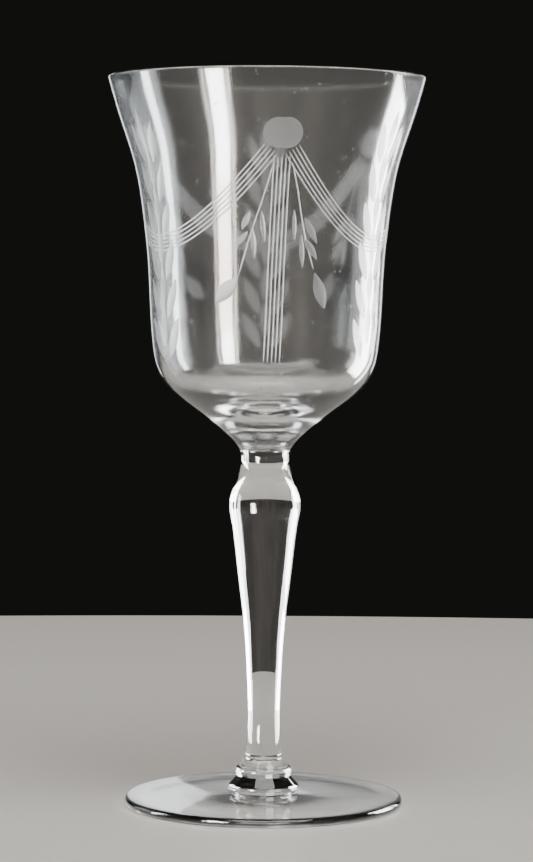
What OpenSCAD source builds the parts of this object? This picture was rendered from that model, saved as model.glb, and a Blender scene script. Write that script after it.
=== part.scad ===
// Stemmed wine glass: a flared blown bowl on a solid baluster stem, two collars and a round foot.
// Millimetres. +Z runs up the glass, and the origin is the middle of the face it stands on.
// Every piece is turned about Z, and each meets the next on a flat round face.

/* [Foot] */
// Diameter of the foot
foot_d = 77.4; // [66:0.2:90]
// Height of the foot's top just inside its rounded edge
foot_edge_h = 2.4; // [2:0.1:3.2]
// Height of the foot's top where the lower collar stands on it
foot_h = 3.5; // [3.3:0.1:5]
// Depth of the hollow under the foot
foot_hollow = 0.8; // [0.3:0.1:1.5]
// Width of the flat ring that the glass stands on
foot_land = 4.5; // [2:0.5:8]

/* [Collars] */
// Height of the lower collar
lower_h = 4.5; // [4:0.1:6]
// Diameter of the lower collar's roll
lower_d = 19.8; // [18:0.1:24]
// Diameter of the groove between the collars
groove_d = 15.2; // [14:0.1:16]
// Height of the upper collar
upper_h = 4.4; // [3.6:0.1:6]
// Diameter of the upper collar's edge
upper_d = 15.9; // [15:0.1:18]

/* [Stem] */
// Length of the stem
stem_h = 86.3; // [60:0.1:110]
// Diameter of the stem's lower end
stem_end_d = 10.1; // [9:0.1:12]
// Diameter of the slim waist above the collars
waist_d = 8.9; // [7:0.1:10]
// Diameter of the swelling under the bowl
knop_d = 19.9; // [15:0.1:26]
// Diameter of the neck between the swelling and the bowl
neck_d = 13.2; // [11:0.1:14]
// Diameter of the fused face between the stem and the bowl
joint_d = 14; // [12:0.1:17]

/* [Bowl] */
// Height of the bowl from the fused face to the lip
bowl_h = 104.3; // [80:0.1:130]
// Outer diameter of the lip
lip_d = 88.8; // [76:0.2:100]
// Outer diameter of the upright wall just above the shoulder
wall_d = 63; // [54:0.2:72]
// Thickness of the wall at the lip
lip_t = 1.2; // [0.9:0.1:1.6]
// Height of the bottom of the inside above the fused face
button_h = 12; // [9:0.1:15]

/* [Hidden] */
$fn = 96;
curve_steps = 4;
arc_steps = 8;

foot_r = foot_d / 2;
roll_r = 0.3 * lower_h;
seat_r = lower_d / 2 - roll_r;
groove_r = groove_d / 2;
stem_end_r = stem_end_d / 2;
waist_r = waist_d / 2;
knop_r = knop_d / 2;
joint_r = joint_d / 2;
wall_r = wall_d / 2;

lower_z = foot_h;
upper_z = lower_z + lower_h;
stem_z = upper_z + upper_h;
bowl_z = stem_z + stem_h;

// Height of the cup, the rounded part of the bowl below its upright wall.
cup_h = 0.27 * bowl_h;
// Thickness of the wall at the top of the cup.
cup_t = 1.6 * lip_t;

// Outline of the cup: share of its height, share of the way out from the fused face to the wall.
CUP = [[0, 0], [0.06, 0.045], [0.14, 0.13], [0.235, 0.255], [0.37, 0.455],
       [0.525, 0.695], [0.68, 0.868], [0.84, 0.963], [1, 1]];
// Wall above the cup: share of the bowl's height, share of the flare, thickness against the lip's.
WALL = [[0.374, 0.07, 1.25], [0.5, 0.124, 1.1], [0.6, 0.205, 1.05], [0.69, 0.306, 1],
        [0.77, 0.442, 1], [0.85, 0.647, 1], [0.92, 0.83, 1]];
// Bottom of the inside: share of the way out, share of the height up to the top of the cup.
WELL = [[0, 0], [0.24, 0.02], [0.47, 0.095], [0.69, 0.24], [0.86, 0.46], [0.955, 0.71]];
// Taper of the stem: share of the height from waist to swelling, share of the swelling's girth.
TAPER = [[0.15, 0.05], [0.3, 0.135], [0.46, 0.285], [0.63, 0.51], [0.83, 0.765], [0.93, 0.925]];

// One point of the smooth curve from b to c, at share t of the way; a and d steer its ends.
function between(a, b, c, d, t) =
    b + t / 2 * ((c - a) + t * ((2 * a - 5 * b + 4 * c - d) + t * (3 * b - a - 3 * c + d)));

// A smooth curve through every point of p except the first and the last, which only steer it.
function smooth(p) = concat(
    [for (i = [1 : len(p) - 3], k = [0 : curve_steps - 1])
        between(p[i - 1], p[i], p[i + 1], p[i + 2], k / curve_steps)],
    [p[len(p) - 2]]);

// Points on an arc about c with radius r, from angle a to angle b.
function arc(c, r, a, b) =
    [for (k = [0 : arc_steps]) let (t = a + (b - a) * k / arc_steps) c + r * [cos(t), sin(t)]];

// A solid turned about Z from its outline of [radius, height] points, lifted by z.
module turned(outline, z = 0) {
    translate([0, 0, z]) rotate_extrude() polygon(outline);
}

// Foot: a nearly flat disc, its top falling gently to a rounded edge, its underside a little hollow.
module foot() {
    top_r = foot_edge_h / 2;
    base_r = foot_edge_h / 3;
    hollow_r = foot_r - base_r - foot_land;
    slope_w = foot_r - top_r - seat_r;
    top = [for (k = [0 : arc_steps])
        let (u = k / arc_steps)
        [seat_r + slope_w * u, foot_edge_h + (foot_h - foot_edge_h) * pow(1 - u, 2)]];
    hollow = [for (k = [0 : arc_steps])
        let (u = 1 - k / arc_steps)
        [hollow_r * u, foot_hollow * (1 - u * u)]];
    color("lightcyan")
        turned(concat(
            [[0, foot_h]],
            top,
            arc([foot_r - top_r, foot_edge_h - top_r], top_r, 80, 0),
            arc([foot_r - base_r, base_r], base_r, 0, -90),
            hollow));
}

// Lower collar: a round roll that stands on the foot and slopes in to the groove above it.
module lower_ring() {
    color("aliceblue")
        turned(concat(
            [[0, 0]],
            arc([seat_r, roll_r], roll_r, -90, 45),
            [[groove_r, lower_h], [0, lower_h]]), lower_z);
}

// Upper collar: a low rounded edge with a sloping shoulder up to the stem.
module upper_ring() {
    edge_r = 0.3 * upper_h;
    ledge_w = 0.3;
    color("lightcyan")
        turned(concat(
            [[0, 0], [groove_r, 0]],
            arc([upper_d / 2 - edge_r, edge_r], edge_r, -30, 50),
            [[stem_end_r + ledge_w, upper_h], [0, upper_h]]), upper_z);
}

// Stem: rounded lower end, slim waist, long taper out to the swelling, short neck under the bowl.
module stem() {
    end_r = 0.5;
    // Where the slim waist, the widest of the swelling and the neck sit on the stem.
    waist_z = 0.158 * stem_h;
    knop_z = 0.824 * stem_h;
    neck_z = 0.965 * stem_h;
    neck_r = neck_d / 2;
    taper = [for (s = TAPER)
        [waist_r + (knop_r - waist_r) * s[1], waist_z + (knop_z - waist_z) * s[0]]];
    side = smooth(concat(
        [[stem_end_r, -end_r], [stem_end_r, end_r]],
        [[0.45 * waist_r + 0.55 * stem_end_r, 0.4 * waist_z], [waist_r, waist_z]],
        taper,
        [[knop_r, knop_z],
         [0.86 * knop_r + 0.14 * neck_r, 0.25 * neck_z + 0.75 * knop_z],
         [0.5 * (knop_r + neck_r), 0.55 * neck_z + 0.45 * knop_z],
         [neck_r + 0.1 * (knop_r - neck_r), 0.83 * neck_z + 0.17 * knop_z],
         [neck_r, neck_z],
         [joint_r, stem_h],
         [joint_r + 0.6, stem_h + 1]]));
    color("aliceblue")
        turned(concat(
            [[0, 0]],
            arc([stem_end_r - end_r, end_r], end_r, -90, -10),
            side,
            [[0, stem_h]]), stem_z);
}

// Bowl: a solid button, a rounded cup, an upright wall and a flared lip melted round.
module bowl() {
    lip_r = lip_d / 2;
    bead_r = lip_t / 2;
    // Lean of the flared wall, in degrees, where the lip's bead takes over from it.
    lean = 16;
    bead = [lip_r - bead_r, bowl_h - bead_r];
    cup = [for (s = CUP) [joint_r + (wall_r - joint_r) * s[1], cup_h * s[0]]];
    wall = [for (s = WALL) [wall_r + (lip_r - wall_r) * s[1], bowl_h * s[0]]];
    outer = smooth(concat(
        [[joint_r - 0.3, -1]],
        cup,
        wall,
        [bead + bead_r * [cos(lean), -sin(lean)], [lip_r + 0.6, bowl_h + 1.5]]));
    inner_wall = [for (k = [len(WALL) - 1 : -1 : 0]) wall[k] - [lip_t * WALL[k][2], 0]];
    well_r = wall_r - cup_t;
    well = [for (k = [len(WELL) - 1 : -1 : 0])
        [well_r * WELL[k][0], button_h + (cup_h - button_h) * WELL[k][1]]];
    inner = smooth(concat(
        [bead + [0.6 - bead_r, 1.5], bead - bead_r * [cos(lean), -sin(lean)]],
        inner_wall,
        [[well_r, cup_h]],
        well,
        [[-well_r * WELL[1][0], button_h]]));
    color("white")
        turned(concat([[0, 0]], outer, arc(bead, bead_r, 0, 150), inner), bowl_z);
}

foot();
lower_ring();
upper_ring();
stem();
bowl();
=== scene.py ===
"""Clear stemmed wine glass with wheel-cut decoration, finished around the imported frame.

Lengths are metres and +Z runs up the glass. Angles about Z are degrees: they start at -Y, the
side that faces the camera, and grow towards +X.
"""

import logging
import math
from dataclasses import dataclass, field
from enum import Enum
from typing import Iterator, Optional, Sequence, Union

import bpy
import numpy as np
from mathutils import Matrix, Vector

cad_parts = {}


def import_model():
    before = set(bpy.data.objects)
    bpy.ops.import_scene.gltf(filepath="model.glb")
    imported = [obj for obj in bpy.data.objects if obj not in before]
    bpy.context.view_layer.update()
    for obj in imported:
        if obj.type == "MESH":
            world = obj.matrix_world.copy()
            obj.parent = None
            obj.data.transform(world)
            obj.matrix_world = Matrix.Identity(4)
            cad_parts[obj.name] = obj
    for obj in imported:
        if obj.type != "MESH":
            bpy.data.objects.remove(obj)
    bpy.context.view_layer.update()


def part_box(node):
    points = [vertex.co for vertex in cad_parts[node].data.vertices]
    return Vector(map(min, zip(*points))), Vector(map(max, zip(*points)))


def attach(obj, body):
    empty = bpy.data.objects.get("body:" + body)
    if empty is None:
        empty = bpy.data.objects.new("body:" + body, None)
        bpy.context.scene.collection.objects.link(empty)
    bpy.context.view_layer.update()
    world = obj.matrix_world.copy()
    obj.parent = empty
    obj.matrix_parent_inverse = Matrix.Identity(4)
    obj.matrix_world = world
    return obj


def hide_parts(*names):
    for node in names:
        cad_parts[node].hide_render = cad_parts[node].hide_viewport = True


LOG = logging.getLogger("wine_glass")
MM = 0.001
AROUND = 288
COLLARS = ("lower_ring", "upper_ring")
FOOT_END = ("foot", *COLLARS)
STEM_END = ("stem", *COLLARS)
ALL_GLASS = (*FOOT_END, "stem", "bowl")
Number = Union[float, "Signal"]


# ---------------------------------------------------------------------------------------------
# Outlines and turned shapes


def natural_spline(points: np.ndarray, spacing: float, flat_end: bool = False) -> np.ndarray:
    """A smooth line through points, of even spacing along its length.

    Formula: one cubic a piece between neighbouring points, joined so that direction and
    curvature run on through each point; the curvature is nought at the two ends, or with
    flat_end the last direction is level.

    Args:
        points: Radius and height of each station, one row each.
        spacing: The wanted distance between points of the result.
        flat_end: Whether the line reaches its last point running level, as on an axis.

    Returns:
        Radius and height of each point of the line, one row each.
    """
    count = len(points)
    gaps = np.linalg.norm(np.diff(points, axis=0), axis=1)
    along = np.concatenate([[0.0], np.cumsum(gaps)])
    system = np.zeros((count, count))
    right = np.zeros((count, 2))
    system[0, 0] = system[-1, -1] = 1.0
    rows = np.arange(1, count - 1)
    system[rows, rows - 1] = gaps[:-1]
    system[rows, rows] = 2.0 * (gaps[:-1] + gaps[1:])
    system[rows, rows + 1] = gaps[1:]
    slopes = np.diff(points, axis=0) / gaps[:, None]
    right[rows] = 6.0 * np.diff(slopes, axis=0)
    if flat_end:
        system[-1, -2:] = [gaps[-1], 2.0 * gaps[-1]]
        level = np.array([np.sign(slopes[-1, 0]), 0.0])
        right[-1] = 6.0 * (level - slopes[-1])
    bend = np.linalg.solve(system, right)
    total = max(int(round(along[-1] / spacing)), count)
    at = np.linspace(0.0, along[-1], total + 1)
    piece = np.clip(np.searchsorted(along, at, side="right") - 1, 0, count - 2)
    gap = gaps[piece][:, None]
    ahead = (along[piece + 1] - at)[:, None]
    behind = (at - along[piece])[:, None]
    low, high = bend[piece], bend[piece + 1]
    return (
        low * ahead**3 / (6 * gap)
        + high * behind**3 / (6 * gap)
        + (points[piece] / gap - low * gap / 6) * ahead
        + (points[piece + 1] / gap - high * gap / 6) * behind
    )


def arc(centre: Sequence[float], radius: float, start: float, end: float, steps: int) -> np.ndarray:
    """Points on part of a circle.

    Formula: centre + radius * (cos a, sin a) for the angle a from start to end.

    Args:
        centre: Radius and height of the circle's middle.
        radius: The circle's radius.
        start: First angle in degrees, from the radius axis towards the height axis.
        end: Last angle in degrees.
        steps: Number of equal steps.

    Returns:
        Radius and height of each point, one row each.
    """
    angle = np.radians(np.linspace(start, end, steps + 1))
    return np.asarray(centre) + radius * np.stack([np.cos(angle), np.sin(angle)], axis=1)


def place(radius: np.ndarray, angle: np.ndarray, height: np.ndarray) -> np.ndarray:
    """Points in space from radius, angle about Z in radians, and height.

    Formula: x = radius * sin(angle), y = -radius * cos(angle), z = height.

    Args:
        radius: Distance from the axis.
        angle: Angle about Z from -Y towards +X, in radians.
        height: Height above the table.

    Returns:
        x, y and z along a new last axis.
    """
    return np.stack([radius * np.sin(angle), -radius * np.cos(angle), height + 0 * angle], axis=-1)


@dataclass
class Shell:
    """A closed mesh as arrays: points, faces of three or four corners, and a slot for each face."""

    points: np.ndarray
    faces: list[list[int]]
    slots: np.ndarray

    def mesh(self, name: str) -> bpy.types.Mesh:
        """Makes the Blender mesh, smooth, with a crease wherever two slots meet.

        Args:
            name: Name of the mesh.

        Returns:
            The mesh.
        """
        mesh = bpy.data.meshes.new(name)
        mesh.from_pydata(self.points.tolist(), [], self.faces)
        mesh.polygons.foreach_set("material_index", self.slots.astype(np.int32))
        mesh.polygons.foreach_set("use_smooth", np.ones(len(self.faces), bool))
        crease_between_slots(mesh)
        return mesh


def crease_between_slots(mesh: bpy.types.Mesh) -> None:
    """Marks as sharp each edge whose faces have different slots, so that shading stops there.

    Args:
        mesh: The mesh to mark.
    """
    slots = np.zeros(len(mesh.polygons), np.int32)
    sizes = np.zeros(len(mesh.polygons), np.int32)
    edges = np.zeros(len(mesh.loops), np.int32)
    mesh.polygons.foreach_get("material_index", slots)
    mesh.polygons.foreach_get("loop_total", sizes)
    mesh.loops.foreach_get("edge_index", edges)
    slot_at_corner = np.repeat(slots, sizes)
    low = np.full(len(mesh.edges), slots.max() + 1)
    high = np.full(len(mesh.edges), -1)
    np.minimum.at(low, edges, slot_at_corner)
    np.maximum.at(high, edges, slot_at_corner)
    mesh.edges.foreach_set("use_edge_sharp", low != high)
    mesh.update()


def turned(outline: np.ndarray, slots: np.ndarray, around: int = AROUND) -> Shell:
    """A solid of revolution about Z.

    Formula: each point of the outline is carried once round the axis; the first and last
    points lie on the axis and close the solid as poles.

    Args:
        outline: Radius and height of each point, bottom of the axis first, outside going up.
        slots: Material slot of each stretch between neighbouring points.
        around: Number of steps round the axis.

    Returns:
        The closed solid.
    """
    rings = outline[1:-1]
    angle = np.linspace(0.0, 2.0 * np.pi, around, endpoint=False)
    body = place(rings[:, :1] + 0 * angle, angle[None, :], rings[:, 1:]).reshape(-1, 3)
    poles = [[0.0, 0.0, outline[0, 1]], [0.0, 0.0, outline[-1, 1]]]
    points = np.concatenate([body, poles])
    ring_at = np.arange(len(rings) - 1)[:, None] * around
    here = np.arange(around)
    ahead = (here + 1) % around
    quads = np.stack(
        [ring_at + here, ring_at + ahead, ring_at + ahead + around, ring_at + here + around], axis=-1
    ).reshape(-1, 4)
    last = (len(rings) - 1) * around
    bottom = np.stack([np.full(around, len(body)), ahead, here], axis=1)
    top = np.stack([last + here, last + ahead, np.full(around, len(body) + 1)], axis=1)
    faces = bottom.tolist() + quads.tolist() + top.tolist()
    return Shell(points, faces, np.repeat(slots, around))


def solid_object(
    name: str, mesh: bpy.types.Mesh, materials: Sequence[bpy.types.Material]
) -> bpy.types.Object:
    """Puts a finished mesh into the scene, unmoved, with its materials.

    Args:
        name: Name of the piece.
        mesh: The mesh, placed in its own points.
        materials: One material for each slot of the mesh.

    Returns:
        The new object.
    """
    for material in materials:
        mesh.materials.append(material)
    piece = bpy.data.objects.new(name, mesh)
    bpy.context.scene.collection.objects.link(piece)
    return piece


# ---------------------------------------------------------------------------------------------
# Materials


@dataclass(frozen=True)
class Signal:
    """A node's output that makes Math nodes when it is added, multiplied or subtracted."""

    graph: "Graph"
    socket: bpy.types.NodeSocket

    def math(self, operation: str, *others: Number) -> "Signal":
        """A Math node of this signal and others.

        Args:
            operation: Blender's name for the operation.
            others: The second and third values, if the operation has them.

        Returns:
            The node's result.
        """
        inputs = dict(enumerate([self, *others]))
        return self.graph.add("ShaderNodeMath", {"operation": operation}, inputs)

    def __add__(self, other: Number) -> "Signal":
        """Sum."""
        return self.math("ADD", other)

    def __radd__(self, other: float) -> "Signal":
        """Sum, the number first."""
        return self.math("ADD", other)

    def __mul__(self, other: Number) -> "Signal":
        """Product."""
        return self.math("MULTIPLY", other)

    def __rmul__(self, other: float) -> "Signal":
        """Product, the number first."""
        return self.math("MULTIPLY", other)

    def __sub__(self, other: Number) -> "Signal":
        """Difference."""
        return self.math("SUBTRACT", other)

    def __rsub__(self, other: float) -> "Signal":
        """Difference, the number first."""
        return (self * -1.0) + other


@dataclass
class Graph:
    """The node tree of one material or of the room, with its shader."""

    owner: Union[bpy.types.Material, bpy.types.World]
    shader_name: str = "Principled BSDF"
    shader: bpy.types.Node = field(init=False)

    def __post_init__(self) -> None:
        """Finds the shader that a new node tree starts with."""
        self.owner.use_nodes = True
        self.shader = self.owner.node_tree.nodes[self.shader_name]

    def add(
        self,
        kind: str,
        settings: Optional[dict[str, object]] = None,
        inputs: Optional[dict[Union[str, int], object]] = None,
        output: Union[str, int] = 0,
    ) -> Signal:
        """Adds a node, sets it up and links it.

        Args:
            kind: The node's type.
            settings: The node's own properties, and the stops of a ColorRamp as "stops".
            inputs: Value or Signal for each named or numbered socket.
            output: Which of the node's outputs to return.

        Returns:
            The chosen output.
        """
        node = self.owner.node_tree.nodes.new(kind)
        for key, value in (settings or {}).items():
            if key == "stops":
                self._set_stops(node.color_ramp, value)
            else:
                setattr(node, key, value)
        for key, value in (inputs or {}).items():
            self.feed(node.inputs[key], value)
        return Signal(self, node.outputs[output])

    @staticmethod
    def _set_stops(ramp: bpy.types.ColorRamp, stops: Sequence[tuple[float, float]]) -> None:
        """Gives a ramp its grey stops, each a place and a brightness."""
        while len(ramp.elements) < len(stops):
            ramp.elements.new(0.5)
        for element, (position, grey) in zip(ramp.elements, stops):
            element.position = position
            element.color = (grey, grey, grey, 1.0)

    def feed(self, socket: bpy.types.NodeSocket, value: object) -> None:
        """Links a Signal to a socket, or sets the socket to a plain value."""
        if isinstance(value, Signal):
            self.owner.node_tree.links.new(value.socket, socket)
        else:
            socket.default_value = value

    def surface(self, **inputs: object) -> None:
        """Feeds the shader's sockets, each named with underscores for spaces."""
        for key, value in inputs.items():
            self.feed(self.shader.inputs[key.replace("_", " ")], value)

    def place(self, scale: Sequence[float] = (1.0, 1.0, 1.0)) -> Signal:
        """Object coordinates, stretched by scale along X, Y and Z."""
        where = self.add("ShaderNodeTexCoord", output="Object")
        return self.add("ShaderNodeMapping", {}, {"Vector": where, "Scale": scale})

    def noise(self, where: Signal, scale: float, detail: float = 2.0, rough: float = 0.5) -> Signal:
        """Soft noise from 0 to 1, of about scale patches a metre."""
        inputs = {"Vector": where, "Scale": scale, "Detail": detail, "Roughness": rough}
        return self.add("ShaderNodeTexNoise", {}, inputs)

    def ramp(self, value: Signal, stops: Sequence[tuple[float, float]]) -> Signal:
        """A value passed through a ramp of grey stops."""
        return self.add("ShaderNodeValToRGB", {"stops": stops}, {"Fac": value})

    def bump(self, height: Signal, distance: float, strength: float = 1.0) -> Signal:
        """A normal tilted by a height that counts distance metres from 0 to 1."""
        inputs = {"Height": height, "Distance": distance, "Strength": strength}
        return self.add("ShaderNodeBump", {}, inputs)


@dataclass(frozen=True)
class ClearGlass:
    """Colourless polished glass with the slow waves of hand work and a few dried water spots.

    The haze is the faint bloom that years of washing leave on glass.
    """

    name: str
    tint: tuple[float, float, float, float] = (0.985, 0.99, 0.985, 1.0)
    bend: float = 1.52
    stretch: tuple[float, float, float] = (1.0, 1.0, 0.12)
    wave_scale: float = 110.0
    wave_height: float = 0.03 * MM
    spot_scale: float = 420.0
    spot_edge: tuple[tuple[float, float], ...] = ((0.66, 0.0), (0.74, 1.0))
    spot_rough: float = 0.22
    haze: float = 0.0

    def material(self) -> bpy.types.Material:
        """Makes the material.

        Returns:
            The material.
        """
        graph = Graph(bpy.data.materials.new(self.name))
        waves = graph.noise(graph.place(self.stretch), self.wave_scale, 3.0)
        spots = graph.noise(graph.place(), self.spot_scale, 3.0, 0.6)
        film = graph.ramp(spots, self.spot_edge)
        graph.surface(
            Base_Color=self.tint,
            Transmission_Weight=1.0,
            IOR=self.bend,
            Roughness=film * self.spot_rough + self.haze,
            Normal=graph.bump(waves, self.wave_height),
        )
        return graph.owner


@dataclass(frozen=True)
class CutGlass:
    """Glass ground matte by a cutting wheel: pale grey, rough, with the wheel's fine grit."""

    name: str
    tint: tuple[float, float, float, float] = (0.93, 0.93, 0.92, 1.0)
    clear_share: float = 0.95
    bend: float = 1.5
    roughness: float = 0.42
    patch_scale: float = 500.0
    patch_rough: float = 0.2
    grit_scale: float = 5000.0
    grit_height: float = 0.01 * MM

    def material(self) -> bpy.types.Material:
        """Makes the material.

        Returns:
            The material.
        """
        graph = Graph(bpy.data.materials.new(self.name))
        grit = graph.noise(graph.place(), self.grit_scale, 3.0)
        patches = graph.noise(graph.place(), self.patch_scale, 2.0)
        graph.surface(
            Base_Color=self.tint,
            Transmission_Weight=self.clear_share,
            IOR=self.bend,
            Roughness=patches * self.patch_rough + (self.roughness - self.patch_rough / 2),
            Normal=graph.bump(grit, self.grit_height),
        )
        return graph.owner


@dataclass(frozen=True)
class FusedFace:
    """The melted face between two pieces of glass, where light passes straight on."""

    name: str

    def material(self) -> bpy.types.Material:
        """Makes the material.

        Returns:
            The material.
        """
        graph = Graph(bpy.data.materials.new(self.name))
        graph.surface(Alpha=0.0, Roughness=1.0, IOR=1.0)
        return graph.owner


@dataclass(frozen=True)
class FloorPaint:
    """Pale satin paint with faint clouding."""

    name: str
    light: tuple[float, float, float, float] = (0.62, 0.60, 0.57, 1.0)
    dark: tuple[float, float, float, float] = (0.56, 0.54, 0.51, 1.0)
    cloud_scale: float = 12.0
    cloud_rough: float = 0.1
    roughness: float = 0.45
    orange_peel_scale: float = 900.0
    orange_peel_height: float = 0.006 * MM

    def material(self) -> bpy.types.Material:
        """Makes the material.

        Returns:
            The material.
        """
        graph = Graph(bpy.data.materials.new(self.name))
        clouds = graph.noise(graph.place(), self.cloud_scale, 4.0)
        orange_peel = graph.noise(graph.place(), self.orange_peel_scale, 2.0)
        colour = graph.add(
            "ShaderNodeMix",
            {"data_type": "RGBA"},
            {"Factor": clouds, 6: self.light, 7: self.dark},
            2,
        )
        graph.surface(
            Base_Color=colour,
            Roughness=clouds * self.cloud_rough + self.roughness,
            Normal=graph.bump(orange_peel, self.orange_peel_height),
        )
        return graph.owner


class Slot(Enum):
    """Material slots of a glass piece, in their order."""

    GLASS = 0
    FUSED = 1
    CUT = 2
    LINE = 3


# ---------------------------------------------------------------------------------------------
# The foot, the collars and the stem


@dataclass
class TurnedPiece:
    """A solid piece of the glass that stands between the fused faces at low and high."""

    node: str
    piece: str
    low: float = field(init=False)
    high: float = field(init=False)
    width: float = field(init=False)

    def __post_init__(self) -> None:
        """Takes the piece's place from the frame."""
        lowest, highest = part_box(self.node)
        self.low, self.high, self.width = lowest.z, highest.z, highest.x

    def outline(self) -> tuple[np.ndarray, np.ndarray]:
        """Outline from the bottom of the axis to its top, and the slot of each stretch."""
        raise NotImplementedError

    def build(self, glass: bpy.types.Material, fused: bpy.types.Material) -> bpy.types.Object:
        """Turns the piece, dresses it and puts it on the frame.

        Args:
            glass: Material of the open surface.
            fused: Material of the faces melted to a neighbour.

        Returns:
            The piece.
        """
        outline, slots = self.outline()
        mesh = turned(outline, slots).mesh(self.piece)
        return solid_object(self.piece, mesh, [glass, fused])


def between_faces(side: np.ndarray) -> tuple[np.ndarray, np.ndarray]:
    """Closes a side line with a flat face, melted to a neighbour, at each end.

    Args:
        side: Radius and height of each point of the side, bottom first.

    Returns:
        The whole outline, and the slot of each of its stretches.
    """
    outline = np.concatenate([[[0.0, side[0, 1]]], side, [[0.0, side[-1, 1]]]])
    slots = np.full(len(outline) - 1, Slot.GLASS.value)
    slots[[0, -1]] = Slot.FUSED.value
    return outline, slots


@dataclass
class Foot(TurnedPiece):
    """Nearly flat disc with a rounded edge and a shallow hollow underneath."""

    node: str = "foot"
    piece: str = "foot_disc"
    edge_height: float = 2.4 * MM
    hollow: float = 0.8 * MM
    land: float = 4.5 * MM
    seat: float = 8.55 * MM

    def outline(self) -> tuple[np.ndarray, np.ndarray]:
        """Hollow, flat ring, edge and top.

        Formula: the hollow is a parabola, the edge two quarter circles, and the top a parabola
        that is level where it meets the edge.

        Returns:
            Outline and slots.
        """
        top_round = self.edge_height / 2
        base_round = self.edge_height / 3
        hollow_edge = self.width - base_round - self.land
        share = np.linspace(0.0, 1.0, 25)
        hollow = np.stack([hollow_edge * share, self.hollow * (1 - share**2)], axis=1)
        base = arc([self.width - base_round, base_round], base_round, -90, 0, 8)
        brim = arc([self.width - top_round, self.edge_height - top_round], top_round, 0, 90, 10)
        run = self.width - top_round - self.seat
        fall = share[1:]
        top = np.stack(
            [
                self.width - top_round - run * fall,
                self.edge_height + (self.high - self.edge_height) * fall**2,
            ],
            axis=1,
        )
        outline = np.concatenate([hollow, base, brim, top, [[0.0, self.high]]])
        slots = np.full(len(outline) - 1, Slot.GLASS.value)
        slots[-1] = Slot.FUSED.value
        return outline, slots


@dataclass
class LowerCollar(TurnedPiece):
    """Round roll on the foot that slopes in to the groove above it."""

    node: str = "lower_ring"
    piece: str = "lower_collar"
    groove: float = 7.6 * MM
    roll_share: float = 0.3
    step: float = 0.25 * MM

    def outline(self) -> tuple[np.ndarray, np.ndarray]:
        """Three eighths of a circle and a straight slope.

        Returns:
            Outline and slots.
        """
        height = self.high - self.low
        roll = self.roll_share * height
        bulge = arc([self.width - roll, self.low + roll], roll, -90, 45, 18)
        top = np.array([self.groove, self.high])
        slope = natural_spline(np.array([bulge[-1], (bulge[-1] + top) / 2, top]), self.step)
        return between_faces(np.concatenate([bulge, slope[1:]]))


@dataclass
class UpperCollar(TurnedPiece):
    """Low rounded edge with a sloping shoulder up to the stem."""

    node: str = "upper_ring"
    piece: str = "upper_collar"
    groove: float = 7.6 * MM
    stem_end: float = 5.05 * MM
    ledge: float = 0.3 * MM
    edge_share: float = 0.3

    def outline(self) -> tuple[np.ndarray, np.ndarray]:
        """Part of a circle and a straight shoulder.

        Returns:
            Outline and slots.
        """
        edge = self.edge_share * (self.high - self.low)
        bulge = arc([self.width - edge, self.low + edge], edge, -30, 50, 14)
        start = np.array([[self.groove, self.low]])
        top = np.array([self.stem_end + self.ledge, self.high])
        shoulder = bulge[-1] + (top - bulge[-1]) * np.linspace(0.1, 1.0, 10)[:, None]
        return between_faces(np.concatenate([start, bulge, shoulder]))


@dataclass
class Stem(TurnedPiece):
    """Baluster stem: rounded lower end, slim waist, long taper, swelling and short neck."""

    node: str = "stem"
    piece: str = "baluster_stem"
    end: float = 5.05 * MM
    waist: float = 4.45 * MM
    neck: float = 6.6 * MM
    joint: float = 7.0 * MM
    end_round: float = 0.5 * MM
    waist_share: float = 0.158
    knop_share: float = 0.824
    neck_share: float = 0.965
    row: float = 0.6 * MM
    taper: tuple[tuple[float, float], ...] = (
        (0.15, 0.05),
        (0.3, 0.135),
        (0.46, 0.285),
        (0.63, 0.51),
        (0.83, 0.765),
        (0.93, 0.925),
    )

    def outline(self) -> tuple[np.ndarray, np.ndarray]:
        """A smooth line through the stem's named widths.

        Returns:
            Outline and slots.
        """
        length = self.high - self.low
        waist_at = self.waist_share * length
        knop_at = self.knop_share * length
        neck_at = self.neck_share * length
        knop = self.width
        taper = [
            [self.waist + (knop - self.waist) * girth, waist_at + (knop_at - waist_at) * rise]
            for rise, girth in self.taper
        ]
        stations = np.array(
            [
                [self.end, self.end_round],
                [0.45 * self.waist + 0.55 * self.end, 0.4 * waist_at],
                [self.waist, waist_at],
                *taper,
                [knop, knop_at],
                [0.86 * knop + 0.14 * self.neck, 0.25 * neck_at + 0.75 * knop_at],
                [0.5 * (knop + self.neck), 0.55 * neck_at + 0.45 * knop_at],
                [self.neck + 0.1 * (knop - self.neck), 0.83 * neck_at + 0.17 * knop_at],
                [self.neck, neck_at],
                [self.joint, length],
            ]
        )
        rounding = arc([self.end - self.end_round, self.end_round], self.end_round, -90, -8, 6)
        side = np.concatenate([rounding, natural_spline(stations, self.row)])
        return between_faces(side + [0.0, self.low])


# ---------------------------------------------------------------------------------------------
# The bowl and its cut decoration


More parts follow.
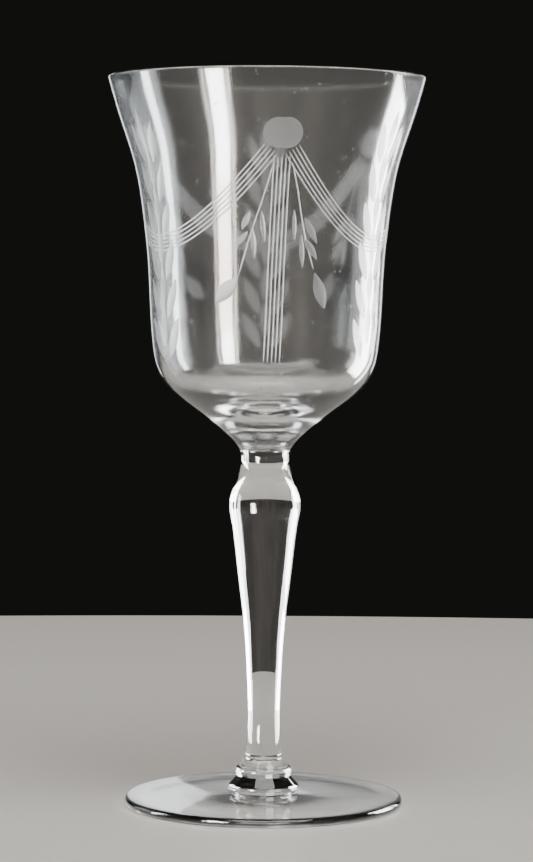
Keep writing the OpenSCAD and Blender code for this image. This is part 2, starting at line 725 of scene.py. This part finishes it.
@dataclass
class Bowl(TurnedPiece):
    """Blown bowl: solid button, rounded cup, upright wall and a flared lip melted round."""

    node: str = "bowl"
    piece: str = "blown_bowl"
    joint: float = 7.0 * MM
    wall: float = 31.5 * MM
    lip_thick: float = 1.2 * MM
    button: float = 12.0 * MM
    cup_share: float = 0.27
    cup_thick: float = 1.6
    lean: float = 16.0
    row: float = 1.05 * MM
    cup_line: tuple[tuple[float, float], ...] = (
        (0.0, 0.0),
        (0.06, 0.045),
        (0.14, 0.13),
        (0.235, 0.255),
        (0.37, 0.455),
        (0.525, 0.695),
        (0.68, 0.868),
        (0.84, 0.963),
        (1.0, 1.0),
    )
    wall_line: tuple[tuple[float, float, float], ...] = (
        (0.374, 0.07, 1.25),
        (0.5, 0.124, 1.1),
        (0.6, 0.205, 1.05),
        (0.69, 0.306, 1.0),
        (0.77, 0.442, 1.0),
        (0.85, 0.647, 1.0),
        (0.92, 0.83, 1.0),
    )
    well_line: tuple[tuple[float, float], ...] = (
        (0.955, 0.71),
        (0.86, 0.46),
        (0.69, 0.24),
        (0.47, 0.095),
        (0.24, 0.02),
        (0.0, 0.0),
    )
    outer: np.ndarray = field(init=False)
    inner: np.ndarray = field(init=False)

    def __post_init__(self) -> None:
        """Works out both sides of the wall, from the frame's sizes."""
        super().__post_init__()
        height = self.high - self.low
        cup = self.cup_share * height
        bead = self.lip_thick / 2
        middle = np.array([self.width - bead, height - bead])
        lean = math.radians(self.lean)
        outward = np.array([math.cos(lean), -math.sin(lean)])
        cup_side = [
            [self.joint + (self.wall - self.joint) * out, cup * rise] for rise, out in self.cup_line
        ]
        wall_side = np.array(
            [
                [self.wall + (self.width - self.wall) * out, height * rise]
                for rise, out, _ in self.wall_line
            ]
        )
        thick = np.array([[self.lip_thick * step[2], 0.0] for step in self.wall_line])
        well_top = self.wall - self.cup_thick * self.lip_thick
        well = [
            [well_top * out, self.button + (cup - self.button) * rise] for out, rise in self.well_line
        ]
        outer = np.array([*cup_side, *wall_side, middle + bead * outward])
        inner = np.array(
            [middle - bead * outward, *(wall_side - thick)[::-1], [well_top, cup], *well]
        )
        self.outer = natural_spline(outer, self.row) + [0.0, self.low]
        self.inner = natural_spline(inner, self.row, flat_end=True) + [0.0, self.low]

    def outline(self) -> tuple[np.ndarray, np.ndarray]:
        """Outside, lip and inside in one line.

        Returns:
            Outline and slots.
        """
        bead = self.lip_thick / 2
        lip = arc([self.width - bead, self.high - bead], bead, -self.lean, 180 - self.lean, 12)
        line = np.concatenate([self.outer, lip[1:-1], self.inner])
        outline = np.concatenate([[[0.0, self.low]], line])
        slots = np.full(len(outline) - 1, Slot.GLASS.value)
        slots[0] = Slot.FUSED.value
        return outline, slots

    def radius(self, height: np.ndarray) -> np.ndarray:
        """Outer radius at a height."""
        return np.interp(height, self.outer[:, 1], self.outer[:, 0])

    def steepness(self, height: np.ndarray) -> np.ndarray:
        """How fast the outer radius grows with height, as a plain ratio."""
        slope = np.gradient(self.outer[:, 0], self.outer[:, 1])
        return np.interp(height, self.outer[:, 1], slope)

    def on_wall(self, angle: np.ndarray, height: np.ndarray, out: np.ndarray) -> np.ndarray:
        """Points on or near the outside of the wall.

        Formula: the turned surface's point at angle and height, plus out times its unit
        normal (1, -slope) / sqrt(1 + slope^2) in radius and height.

        Args:
            angle: Angle about Z in radians.
            height: Height above the table.
            out: Distance outside the wall; less than 0 is inside the glass.

        Returns:
            x, y and z along a new last axis.
        """
        slope = self.steepness(height)
        length = np.sqrt(1.0 + slope**2)
        return place(self.radius(height) + out / length, angle, height - out * slope / length)

    def build(
        self,
        glass: bpy.types.Material,
        fused: bpy.types.Material,
        cut: Optional[bpy.types.Material] = None,
        line: Optional[bpy.types.Material] = None,
    ) -> bpy.types.Object:
        """Turns the bowl, cuts its decoration and dresses it.

        Args:
            glass: Material of the polished surface.
            fused: Material of the face melted to the stem.
            cut: Material of the leaves and medallions.
            line: Material of the thin lines.

        Returns:
            The piece.
        """
        outline, slots = self.outline()
        mesh = turned(outline, slots).mesh(self.piece)
        bowl = solid_object(self.piece, mesh, [glass, fused, cut, line])
        decoration = Decoration(self)
        for number, marks in enumerate(decoration.passes()):
            carve(bowl, self, marks)
            LOG.info("pass %d of the wheel: %d cuts", number + 1, len(marks))
        crease_between_slots(bowl.data)
        polish(bowl.data, outline)
        return bowl


@dataclass
class Mark:
    """One cut of the wheel: a line over the wall, its half width and its depth along the way."""

    angle: np.ndarray
    height: np.ndarray
    half_width: np.ndarray
    depth: np.ndarray
    points_across: int = 5
    slot: Slot = Slot.CUT

    def cutter(self, wall: Bowl) -> Shell:
        """The closed shape that the wheel takes out of the wall.

        Formula: across the line at offset a half widths, a from -1.25 to 1.25, the underside
        lies depth * (a^2 - 1) outside the wall, so it leaves the glass at a = 1; a lid closes
        it above the wall, and both ends run to a point.

        Args:
            wall: The bowl that is cut.

        Returns:
            The closed shape, all in the slot of cut glass.
        """
        reach = 1.25
        lid = 0.04 * MM
        radius = wall.radius(self.height)
        lean = np.sqrt(1.0 + wall.steepness(self.height) ** 2)
        east = np.gradient(self.angle) * radius
        north = np.gradient(self.height) * lean
        speed = np.hypot(east, north)
        side_east, side_north = north / speed, -east / speed
        under = np.linspace(-reach, reach, self.points_across)
        over = under[-2:0:-1]
        across = np.concatenate([under, over])
        high = self.depth[:, None] * (reach**2 - 1.0)
        out = np.concatenate(
            [self.depth[:, None] * (under**2 - 1.0), high + lid + 0 * over[None, :]], axis=1
        )
        offset = self.half_width[:, None] * across[None, :]
        angle = self.angle[:, None] + offset * (side_east / radius)[:, None]
        height = self.height[:, None] + offset * (side_north / lean)[:, None]
        rings = wall.on_wall(angle, height, out)[1:-1]
        tips = wall.on_wall(self.angle[[0, -1]], self.height[[0, -1]], np.array([lid, lid]))
        return closed_tube(rings, tips, self.slot.value)


def polish(mesh: bpy.types.Mesh, outline: np.ndarray) -> None:
    """Shades the uncut faces of a turned mesh as the true turned surface.

    Formula: each uncut corner takes the normal of the outline's nearest place, turned about
    Z to the corner's own angle; the faces of the other slots keep their own normals.

    Args:
        mesh: The mesh, cut from the turned outline.
        outline: Radius and height of each point of the outline, outside going up.
    """
    points = np.zeros(len(mesh.vertices) * 3)
    mesh.vertices.foreach_get("co", points)
    points = points.reshape(-1, 3)
    flat = np.stack([np.hypot(points[:, 0], points[:, 1]), points[:, 2]], axis=1)
    run = np.gradient(outline, axis=0)
    facing = np.stack([run[:, 1], -run[:, 0]], axis=1)
    facing /= np.linalg.norm(facing, axis=1)[:, None]
    facing[-1] = [0.0, 1.0]
    start, step = outline[:-1], np.diff(outline, axis=0)
    squares = (step**2).sum(axis=1)
    best = np.full(len(flat), np.inf)
    normal = np.zeros((len(flat), 2))
    for piece in range(1, len(start)):
        share = np.clip((flat - start[piece]) @ step[piece] / squares[piece], 0.0, 1.0)[:, None]
        gap = np.linalg.norm(flat - start[piece] - share * step[piece], axis=1)
        nearer = gap < best
        here = facing[piece] * (1.0 - share) + facing[piece + 1] * share
        normal[nearer] = here[nearer]
        best[nearer] = gap[nearer]
    radius = np.maximum(flat[:, :1], 1e-9)
    around = np.concatenate([points[:, :2] / radius * normal[:, :1], normal[:, 1:]], axis=1)
    around /= np.linalg.norm(around, axis=1)[:, None]
    vertex = np.zeros(len(mesh.loops), np.int32)
    mesh.loops.foreach_get("vertex_index", vertex)
    own = np.zeros(len(mesh.loops) * 3)
    mesh.corner_normals.foreach_get("vector", own)
    slots = np.zeros(len(mesh.polygons), np.int32)
    sizes = np.zeros(len(mesh.polygons), np.int32)
    mesh.polygons.foreach_get("material_index", slots)
    mesh.polygons.foreach_get("loop_total", sizes)
    uncut = np.repeat(slots, sizes) == Slot.GLASS.value
    shaded = np.where(uncut[:, None], around[vertex], own.reshape(-1, 3))
    mesh.normals_split_custom_set(shaded.tolist())


def closed_tube(rings: np.ndarray, tips: np.ndarray, slot: int) -> Shell:
    """A closed skin over rings of points, with a point at each end.

    Args:
        rings: Rings of points, first along the tube, then round it.
        tips: The point before the first ring and the point after the last.
        slot: Material slot of all faces.

    Returns:
        The closed skin, its faces pointing outwards.
    """
    long, around = rings.shape[:2]
    points = np.concatenate([rings.reshape(-1, 3), tips])
    here = np.arange(around)
    ahead = (here + 1) % around
    ring_at = np.arange(long - 1)[:, None] * around
    quads = np.stack(
        [ring_at + here, ring_at + ahead, ring_at + ahead + around, ring_at + here + around], axis=-1
    ).reshape(-1, 4)
    last = (long - 1) * around
    first_tip = np.stack([np.full(around, len(points) - 2), ahead, here], axis=1)
    last_tip = np.stack([last + here, last + ahead, np.full(around, len(points) - 1)], axis=1)
    corners = [first_tip, quads[:, [0, 1, 2]], quads[:, [0, 2, 3]], last_tip]
    triangles = np.concatenate(corners)
    a, b, c = (points[triangles[:, i]] for i in range(3))
    if np.einsum("ij,ij->", a, np.cross(b, c)) < 0:
        triangles = triangles[:, ::-1]
    return Shell(points, triangles.tolist(), np.full(len(triangles), slot))


def carve(bowl: bpy.types.Object, wall: Bowl, marks: Sequence[Mark]) -> None:
    """Cuts marks that don't touch each other out of the bowl.

    Args:
        bowl: The bowl's object, whose mesh is replaced by the cut one.
        wall: The bowl's shape.
        marks: The cuts.
    """
    shells = [mark.cutter(wall) for mark in marks]
    starts = np.cumsum([0] + [len(shell.points) for shell in shells])
    faces = [
        [corner + int(start) for corner in face]
        for start, shell in zip(starts, shells)
        for face in shell.faces
    ]
    joined = Shell(
        np.concatenate([shell.points for shell in shells]),
        faces,
        np.concatenate([shell.slots for shell in shells]),
    )
    tool = solid_object("wheel", joined.mesh("wheel"), list(bowl.data.materials))
    cut = bowl.modifiers.new("cut", "BOOLEAN")
    cut.operation = "DIFFERENCE"
    cut.solver = "MANIFOLD"
    cut.object = tool
    graph = bpy.context.evaluated_depsgraph_get()
    carved = bpy.data.meshes.new_from_object(bowl.evaluated_get(graph))
    bowl.modifiers.clear()
    old = bowl.data
    bowl.data = carved
    bpy.data.objects.remove(tool)
    bpy.data.meshes.remove(old)


@dataclass
class Decoration:
    """The cut pattern: three medallions joined by swags, with tassels, sprigs and laurels."""

    bowl: Bowl
    repeats: int = 3
    medallion_turn: float = 6.4
    laurel_turn: float = 60.0
    line_half: float = 0.21 * MM
    line_depth: float = 0.12 * MM
    swag_gap: float = 1.06 * MM
    tassel_gap: float = 1.08 * MM
    medallion_radius: float = 4.25 * MM
    medallion_height: float = 185.5 * MM
    medallion_depth: float = 0.3 * MM
    medallion_apart: float = 1.15 * MM
    laurel_levels: int = 6
    laurel_pitch: float = 10.6 * MM

    def passes(self) -> Iterator[list[Mark]]:
        """Groups of cuts, those of one group clear of each other.

        Returns:
            The groups in the order that they are cut.
        """
        turns = [360.0 / self.repeats * k for k in range(self.repeats)]
        yield [line for turn in turns for line in self.swag(turn)]
        yield [line for turn in turns for line in self.tassel(turn)]
        yield [stalk for turn in turns for stalk in self.stalks(turn)]
        for side in (0, 1):
            yield [leaf for turn in turns for leaf in self.sprig_leaves(turn)[side::2]]
        for offset in (-1.0, 1.0):
            yield [self.medallion(turn, offset) for turn in turns]
        for start in (0, 1):
            yield [leaf for turn in turns for leaf in self.laurel_sides(turn)[start::2]]
        for start in (0, 1):
            yield [leaf for turn in turns for leaf in self.laurel_middle(turn)[start::2]]

    def path(
        self, turn: float, across: np.ndarray, height: np.ndarray
    ) -> tuple[np.ndarray, np.ndarray]:
        """A line given as distance round the wall from a turn, and height above the table.

        Args:
            turn: Angle that distances start from, in degrees.
            across: Distance round the wall, towards growing angles.
            height: Height above the table.

        Returns:
            Angle in radians and height of each point.
        """
        return math.radians(turn) + across / self.bowl.radius(height), height

    def groove(self, turn: float, across: np.ndarray, height: np.ndarray) -> Mark:
        """A thin cut of even width that fades in and out at its ends.

        Args:
            turn: Angle that distances round the wall start from, in degrees.
            across: Distance round the wall of each point.
            height: Height above the table of each point.

        Returns:
            The cut.
        """
        angle, height = self.path(turn, across, height)
        share = np.linspace(0.0, 1.0, len(angle))
        fade = np.clip(np.minimum(share, 1.0 - share) * len(angle) / 2.5, 0.1, 1.0)
        half_width = self.line_half * np.sqrt(fade)
        return Mark(angle, height, half_width, self.line_depth * fade, slot=Slot.LINE)

    def leaf(
        self,
        turn: float,
        start: Sequence[float],
        end: Sequence[float],
        half_width: float,
        fullness: float = 1.0,
        depth: float = 0.2 * MM,
    ) -> Mark:
        """A pointed lens-shaped cut from start to end.

        Formula: at share t of its length the half width is half_width * sin(pi * t^fullness),
        and the depth follows the same sine.

        Args:
            turn: Angle that distances round the wall start from, in degrees.
            start: Distance round the wall and height of its first tip.
            end: Distance round the wall and height of its last tip.
            half_width: Half width at its widest.
            fullness: Over 1 puts the widest place nearer the end, under 1 nearer the start.
            depth: Depth at its widest.

        Returns:
            The cut.
        """
        share = np.linspace(0.0, 1.0, 15)
        across = start[0] + (end[0] - start[0]) * share
        height = start[1] + (end[1] - start[1]) * share
        angle, height = self.path(turn, across, height)
        swell = np.clip(np.sin(np.pi * share**fullness), 0.02, 1.0)
        return Mark(angle, height, half_width * swell, depth * swell, 7)

    def medallion(self, turn: float, offset: float) -> Mark:
        """One of the two round cuts that overlap as a medallion.

        Formula: a circle, its half width sqrt(1 - u^2) for u from -1 to 1 down its height.

        Args:
            turn: Angle that this repeat of the pattern starts from, in degrees.
            offset: Which side of the medallion's middle it lies on, -1 or 1.

        Returns:
            The cut.
        """
        squash = 0.97
        u = np.cos(np.linspace(math.pi, 0.0, 17))
        height = self.medallion_height + self.medallion_radius * u * squash
        across = np.full(len(u), offset * self.medallion_apart)
        angle, height = self.path(turn + self.medallion_turn, across, height)
        swell = np.clip(np.sqrt(1.0 - u**2), 0.05, 1.0)
        return Mark(angle, height, self.medallion_radius * swell, self.medallion_depth * swell, 9)

    def swag(self, turn: float) -> list[Mark]:
        """Five even lines that hang from a medallion to the next, lowest at the laurel.

        Formula: the middle line is a parabola on each side of the laurel; the others lie at
        even distances square to it.

        Args:
            turn: Angle that this repeat of the pattern starts from, in degrees.

        Returns:
            The cuts.
        """
        low, high = 156.2 * MM, 182.0 * MM
        leave, arrive = 3.2, -3.6
        start = turn + self.medallion_turn + leave
        end = turn + 360.0 / self.repeats + self.medallion_turn + arrive
        middle = turn + self.laurel_turn
        angle = np.linspace(start, end, 76)
        reach = np.where(angle < middle, middle - start, end - middle)
        height = low + (high - low) * np.abs((angle - middle) / reach) ** 2
        radius = self.bowl.radius(height)
        east = np.gradient(np.radians(angle)) * radius
        north = np.gradient(height)
        speed = np.hypot(east, north)
        lines = []
        for step in (-2, -1, 0, 1, 2):
            shift = np.radians(angle) - step * self.swag_gap * north / speed / radius
            lift = height + step * self.swag_gap * east / speed
            lines.append(self.groove(0.0, shift * self.bowl.radius(lift), lift))
        return lines

    def tassel(self, turn: float) -> list[Mark]:
        """Five straight lines that hang from a medallion, a little off plumb.

        Args:
            turn: Angle that this repeat of the pattern starts from, in degrees.

        Returns:
            The cuts.
        """
        top, bottom = 180.6 * MM, 123.4 * MM
        drift = 2.0 * MM
        share = np.linspace(0.0, 1.0, 30)
        height = top + (bottom - top) * share
        return [
            self.groove(turn + self.medallion_turn, step * self.tassel_gap - drift * share, height)
            for step in (-2, -1, 0, 1, 2)
        ]

    def stalks(self, turn: float) -> list[Mark]:
        """The two thin stalks that spread out from under a medallion.

        Args:
            turn: Angle that this repeat of the pattern starts from, in degrees.

        Returns:
            The cuts.
        """
        stalks = []
        for stations in (
            [[-2.0, 178.5], [-5.1, 167.6], [-8.1, 158.3], [-11.2, 147.2]],
            [[2.6, 178.5], [4.2, 171.6], [6.4, 159.6], [9.6, 148.3]],
        ):
            line = natural_spline(np.array(stations) * MM, 1.6 * MM)
            stalks.append(self.groove(turn + self.medallion_turn, line[:, 0], line[:, 1]))
        return stalks

    def sprig_leaves(self, turn: float) -> list[Mark]:
        """Buds and leaves on both stalks of a medallion.

        Args:
            turn: Angle that this repeat of the pattern starts from, in degrees.

        Returns:
            The cuts.
        """
        shapes = [
            ([-11.0, 147.3], [-17.9, 139.8], 2.1, 1.15),
            ([-8.2, 164.9], [-10.5, 159.5], 0.95, 1.0),
            ([-5.3, 165.2], [-4.2, 155.9], 0.75, 1.0),
            ([-8.7, 159.4], [-12.0, 155.2], 0.8, 1.0),
            ([-7.5, 160.2], [-6.9, 151.4], 0.8, 1.0),
            ([9.6, 148.6], [12.9, 138.2], 1.85, 1.1),
            ([6.5, 163.2], [10.3, 155.9], 1.05, 0.95),
            ([6.4, 157.8], [10.4, 151.6], 1.05, 1.0),
            ([5.7, 158.9], [6.2, 149.2], 0.7, 1.0),
            ([3.6, 165.4], [3.9, 156.6], 0.55, 1.0),
        ]
        return [
            self.leaf(
                turn + self.medallion_turn,
                [start[0] * MM, start[1] * MM],
                [end[0] * MM, end[1] * MM],
                half * MM,
                fullness,
            )
            for start, end, half, fullness in shapes
        ]

    def laurel_sides(self, turn: float) -> list[Mark]:
        """Leaves up both sides of a laurel, those of one height next to each other in the list.

        Args:
            turn: Angle that this repeat of the pattern starts from, in degrees.

        Returns:
            The cuts, ordered so that every other one is clear of the rest.
        """
        leaves: list[Mark] = []
        for level in range(self.laurel_levels):
            base = 124.5 * MM + self.laurel_pitch * level
            spread = (7.2 - 0.35 * level) * MM
            for side in (-1.0, 1.0):
                start = [side * 1.9 * MM, base]
                end = [side * spread, base + 11.6 * MM]
                leaves.append(self.leaf(turn + self.laurel_turn, start, end, 1.75 * MM, 0.95))
        pairs = [leaves[k : k + 2] for k in range(0, len(leaves), 2)]
        even = [leaf for pair in pairs[0::2] for leaf in pair]
        odd = [leaf for pair in pairs[1::2] for leaf in pair]
        return [leaf for two in zip(even, odd) for leaf in two]

    def laurel_middle(self, turn: float) -> list[Mark]:
        """Upright leaves up the middle of a laurel.

        Args:
            turn: Angle that this repeat of the pattern starts from, in degrees.

        Returns:
            The cuts.
        """
        leaves = []
        for level in range(self.laurel_levels):
            base = 128.0 * MM + self.laurel_pitch * level
            start, end = [0.3 * MM, base], [0.0, base + 12.2 * MM]
            leaves.append(self.leaf(turn + self.laurel_turn, start, end, 1.5 * MM, 0.95))
        return leaves


# ---------------------------------------------------------------------------------------------
# Floor, light and camera


@dataclass(frozen=True)
class SoftBox:
    """A soft studio light that the camera doesn't see, kept off all but the things it is for.

    Its place is given as angle about Z from the camera's side, distance from the glass and
    height, and it faces the glass.
    """

    name: str
    angle: float
    distance: float
    height: float
    width: float
    tall: float
    power: float
    colour: tuple[float, float, float] = (1.0, 1.0, 1.0)
    lights: tuple[str, ...] = ALL_GLASS

    def build(self, things: dict[str, bpy.types.Object]) -> None:
        """Makes the light.

        Args:
            things: All that can be lit, by name.
        """
        lamp = bpy.data.lights.new(self.name, "AREA")
        lamp.shape = "RECTANGLE"
        lamp.size = self.width
        lamp.size_y = self.tall
        lamp.energy = self.power
        lamp.color = self.colour
        stand = bpy.data.objects.new(self.name, lamp)
        angle = np.array([math.radians(self.angle)])
        where = place(np.array([self.distance]), angle, np.array([self.height]))[0]
        stand.location = where
        aim = Vector((0.0, 0.0, 0.11)) - Vector(where)
        stand.rotation_euler = aim.to_track_quat("-Z", "Y").to_euler()
        stand.visible_camera = False
        bpy.context.scene.collection.objects.link(stand)
        lit = bpy.data.collections.new("lit_by_" + self.name)
        for thing in self.lights:
            lit.objects.link(things[thing])
        stand.light_linking.receiver_collection = lit


@dataclass(frozen=True)
class Studio:
    """Pale round floor, dark room and soft lights.

    The floor ends a fixed way behind the glass and runs on far in front of it.
    """

    floor_radius: float = 1.3
    floor_behind: float = 0.46
    floor_thick: float = 0.02
    gap: float = 0.25 * MM
    dark: tuple[float, float, float, float] = (0.0075, 0.0075, 0.0068, 1.0)
    soft: tuple[float, float, float, float] = (0.98, 0.89, 0.81, 1.0)
    band_scale: float = 4.5
    band_stretch: float = 0.1
    band_stops: tuple[tuple[float, float], ...] = ((0.4, 0.3), (0.6, 1.0))
    boxes: tuple[SoftBox, ...] = (
        SoftBox("left_strip", -37.0, 0.285, 0.045, 0.06, 0.086, 2.2),
        SoftBox("left_strip_warm", -37.5, 0.285, 0.108, 0.06, 0.038, 0.7, (1.0, 0.87, 0.8)),
        SoftBox("left_strip_inner", -28.0, 0.285, 0.064, 0.009, 0.124, 0.16, (1.0, 0.93, 0.85)),
        SoftBox("left_strip_outer", -46.5, 0.285, 0.064, 0.01, 0.124, 0.1, (1.0, 0.95, 0.9)),
        SoftBox("left_side_strip", -93.7, 0.244, 0.077, 0.035, 0.15, 0.8, (0.92, 0.96, 1.0)),
        SoftBox("left_side_thin", -86.2, 0.244, 0.077, 0.026, 0.15, 0.05, (0.96, 0.98, 1.0)),
        SoftBox("left_side_rear", -111.0, 0.244, 0.077, 0.11, 0.15, 0.11, (0.9, 0.95, 1.0)),
        SoftBox("right_side_strip", 113.0, 0.241, 0.077, 0.1, 0.15, 3.0),
        SoftBox("right_side_rear", 135.0, 0.241, 0.077, 0.014, 0.15, 0.2),
        SoftBox("left_edge", -160.0, 0.6, 0.19, 0.05, 0.36, 0.22, (0.88, 0.94, 1.0), ("bowl",)),
        SoftBox("right_edge", 157.0, 0.6, 0.19, 0.07, 0.36, 0.25, (0.94, 0.97, 1.0), ("bowl",)),
        SoftBox("lip_box", 0.0, 0.2, 0.9, 1.6, 0.12, 14.0, (1.0, 0.99, 0.97), ("bowl",)),
        SoftBox("stem_left_low", -114.0, 0.12, 0.036, 0.11, 0.066, 1.1, (0.95, 0.98, 1.0), STEM_END),
        SoftBox("stem_right_low", 114.0, 0.12, 0.036, 0.11, 0.066, 1.1, (1.0, 0.99, 0.97), STEM_END),
        SoftBox("foot_card", 180.0, 0.9, 0.31, 0.9, 0.6, 0.55, (0.95, 0.98, 1.0), FOOT_END),
        SoftBox("foot_card_left", -172.0, 0.85, 0.2, 0.14, 0.3, 0.25, (0.93, 0.97, 1.0), FOOT_END),
        SoftBox("collar_card", 180.0, 0.9, 0.62, 2.2, 0.56, 0.6, (1.0, 0.92, 0.85), FOOT_END),
        SoftBox("floor_box", 10.0, 0.75, 1.8, 1.6, 1.6, 60.0, (1.0, 0.98, 0.95), FOOT_END + ("floor",)),
    )

    def build(self, pieces: dict[str, bpy.types.Object]) -> None:
        """Makes floor, room and lights.

        Args:
            pieces: The pieces of glass by the name of their node.
        """
        radius, thick = self.floor_radius, self.floor_thick
        edge = arc([radius - thick / 2, -thick / 2], thick / 2, -90, 90, 10)
        outline = np.concatenate([[[0.0, -thick]], edge, [[0.0, 0.0]]]) - [0.0, self.gap]
        mesh = turned(outline, np.zeros(len(outline) - 1)).mesh("floor")
        mesh.transform(Matrix.Translation((0.0, self.floor_behind - radius, 0.0)))
        floor = solid_object("floor", mesh, [FloorPaint("pale_floor").material()])
        self.room()
        for box in self.boxes:
            box.build({**pieces, "floor": floor})
        LOG.info("studio: floor and %d lights", len(self.boxes))

    def room(self) -> None:
        """Makes the room: dark behind the glass, softly lit in front of it, in upright bands."""
        world = bpy.data.worlds.new("room")
        world.use_nodes = True
        graph = Graph(world, "Background")
        where = graph.add("ShaderNodeTexCoord", output="Generated")
        front = graph.add("ShaderNodeSeparateXYZ", {}, {0: where}, "Y") * -1.0
        upright = {0: where, 1: (1.0, 1.0, self.band_stretch)}
        drawn_out = graph.add("ShaderNodeVectorMath", {"operation": "MULTIPLY"}, upright)
        bands = graph.noise(drawn_out, self.band_scale, 3.0, 0.6)
        share = graph.ramp(front, [(0.1, 0.0), (1.0, 1.0)]) * graph.ramp(bands, self.band_stops)
        colour = graph.add(
            "ShaderNodeMix",
            {"data_type": "RGBA"},
            {"Factor": share, 6: self.dark, 7: self.soft},
            2,
        )
        graph.surface(Color=colour)
        bpy.context.scene.world = world


@dataclass(frozen=True)
class Viewpoint:
    """The camera: it stands level, and its frame is dropped so that the foot shows too."""

    distance: float = 0.812
    height: float = 0.147
    roll: float = -0.31
    lens: float = 121.3
    sensor: float = 36.0
    drop: float = -0.1787
    side: float = 0.0001

    def build(self) -> None:
        """Makes the camera and hands it to the scene."""
        camera = bpy.data.cameras.new("camera")
        camera.lens = self.lens
        camera.sensor_width = self.sensor
        camera.shift_y = self.drop
        stand = bpy.data.objects.new("camera", camera)
        stand.location = (self.side, -self.distance, self.height)
        stand.rotation_mode = "XYZ"
        stand.rotation_euler = (math.radians(90.0), math.radians(self.roll), 0.0)
        bpy.context.scene.collection.objects.link(stand)
        bpy.context.scene.camera = stand


# ---------------------------------------------------------------------------------------------


def main() -> None:
    """Builds the glass around the frame, piece by piece, then the studio and the camera."""
    logging.basicConfig(level=logging.INFO, format="%(message)s")
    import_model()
    fused = FusedFace("fused_face").material()
    cut = CutGlass("wheel_cut").material()
    line = CutGlass("line_cut", clear_share=0.84, roughness=0.5).material()
    bowl_glass = ClearGlass("bowl_glass", haze=0.1).material()
    stem_glass = ClearGlass("stem_glass", wave_height=0.02 * MM, wave_scale=160.0).material()
    foot_glass = ClearGlass(
        "foot_glass",
        stretch=(1.0, 1.0, 1.0),
        wave_scale=55.0,
        wave_height=0.045 * MM,
        haze=0.06,
    ).material()

    parts: list[tuple[TurnedPiece, bpy.types.Object, str]] = []
    foot = Foot()
    parts.append((foot, foot.build(foot_glass, fused), "foot_glass"))
    for part in (LowerCollar(), UpperCollar(), Stem()):
        parts.append((part, part.build(stem_glass, fused), "stem_glass"))
    bowl = Bowl()
    parts.append((bowl, bowl.build(bowl_glass, fused, cut, line), "bowl_glass"))
    for part, piece, slot in parts:
        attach(piece, "root")
        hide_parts(part.node)
        LOG.info("%s: %d faces", piece.name, len(piece.data.polygons))

    Studio().build({part.node: piece for part, piece, _ in parts})
    Viewpoint().build()


if __name__ == "__main__":
    main()
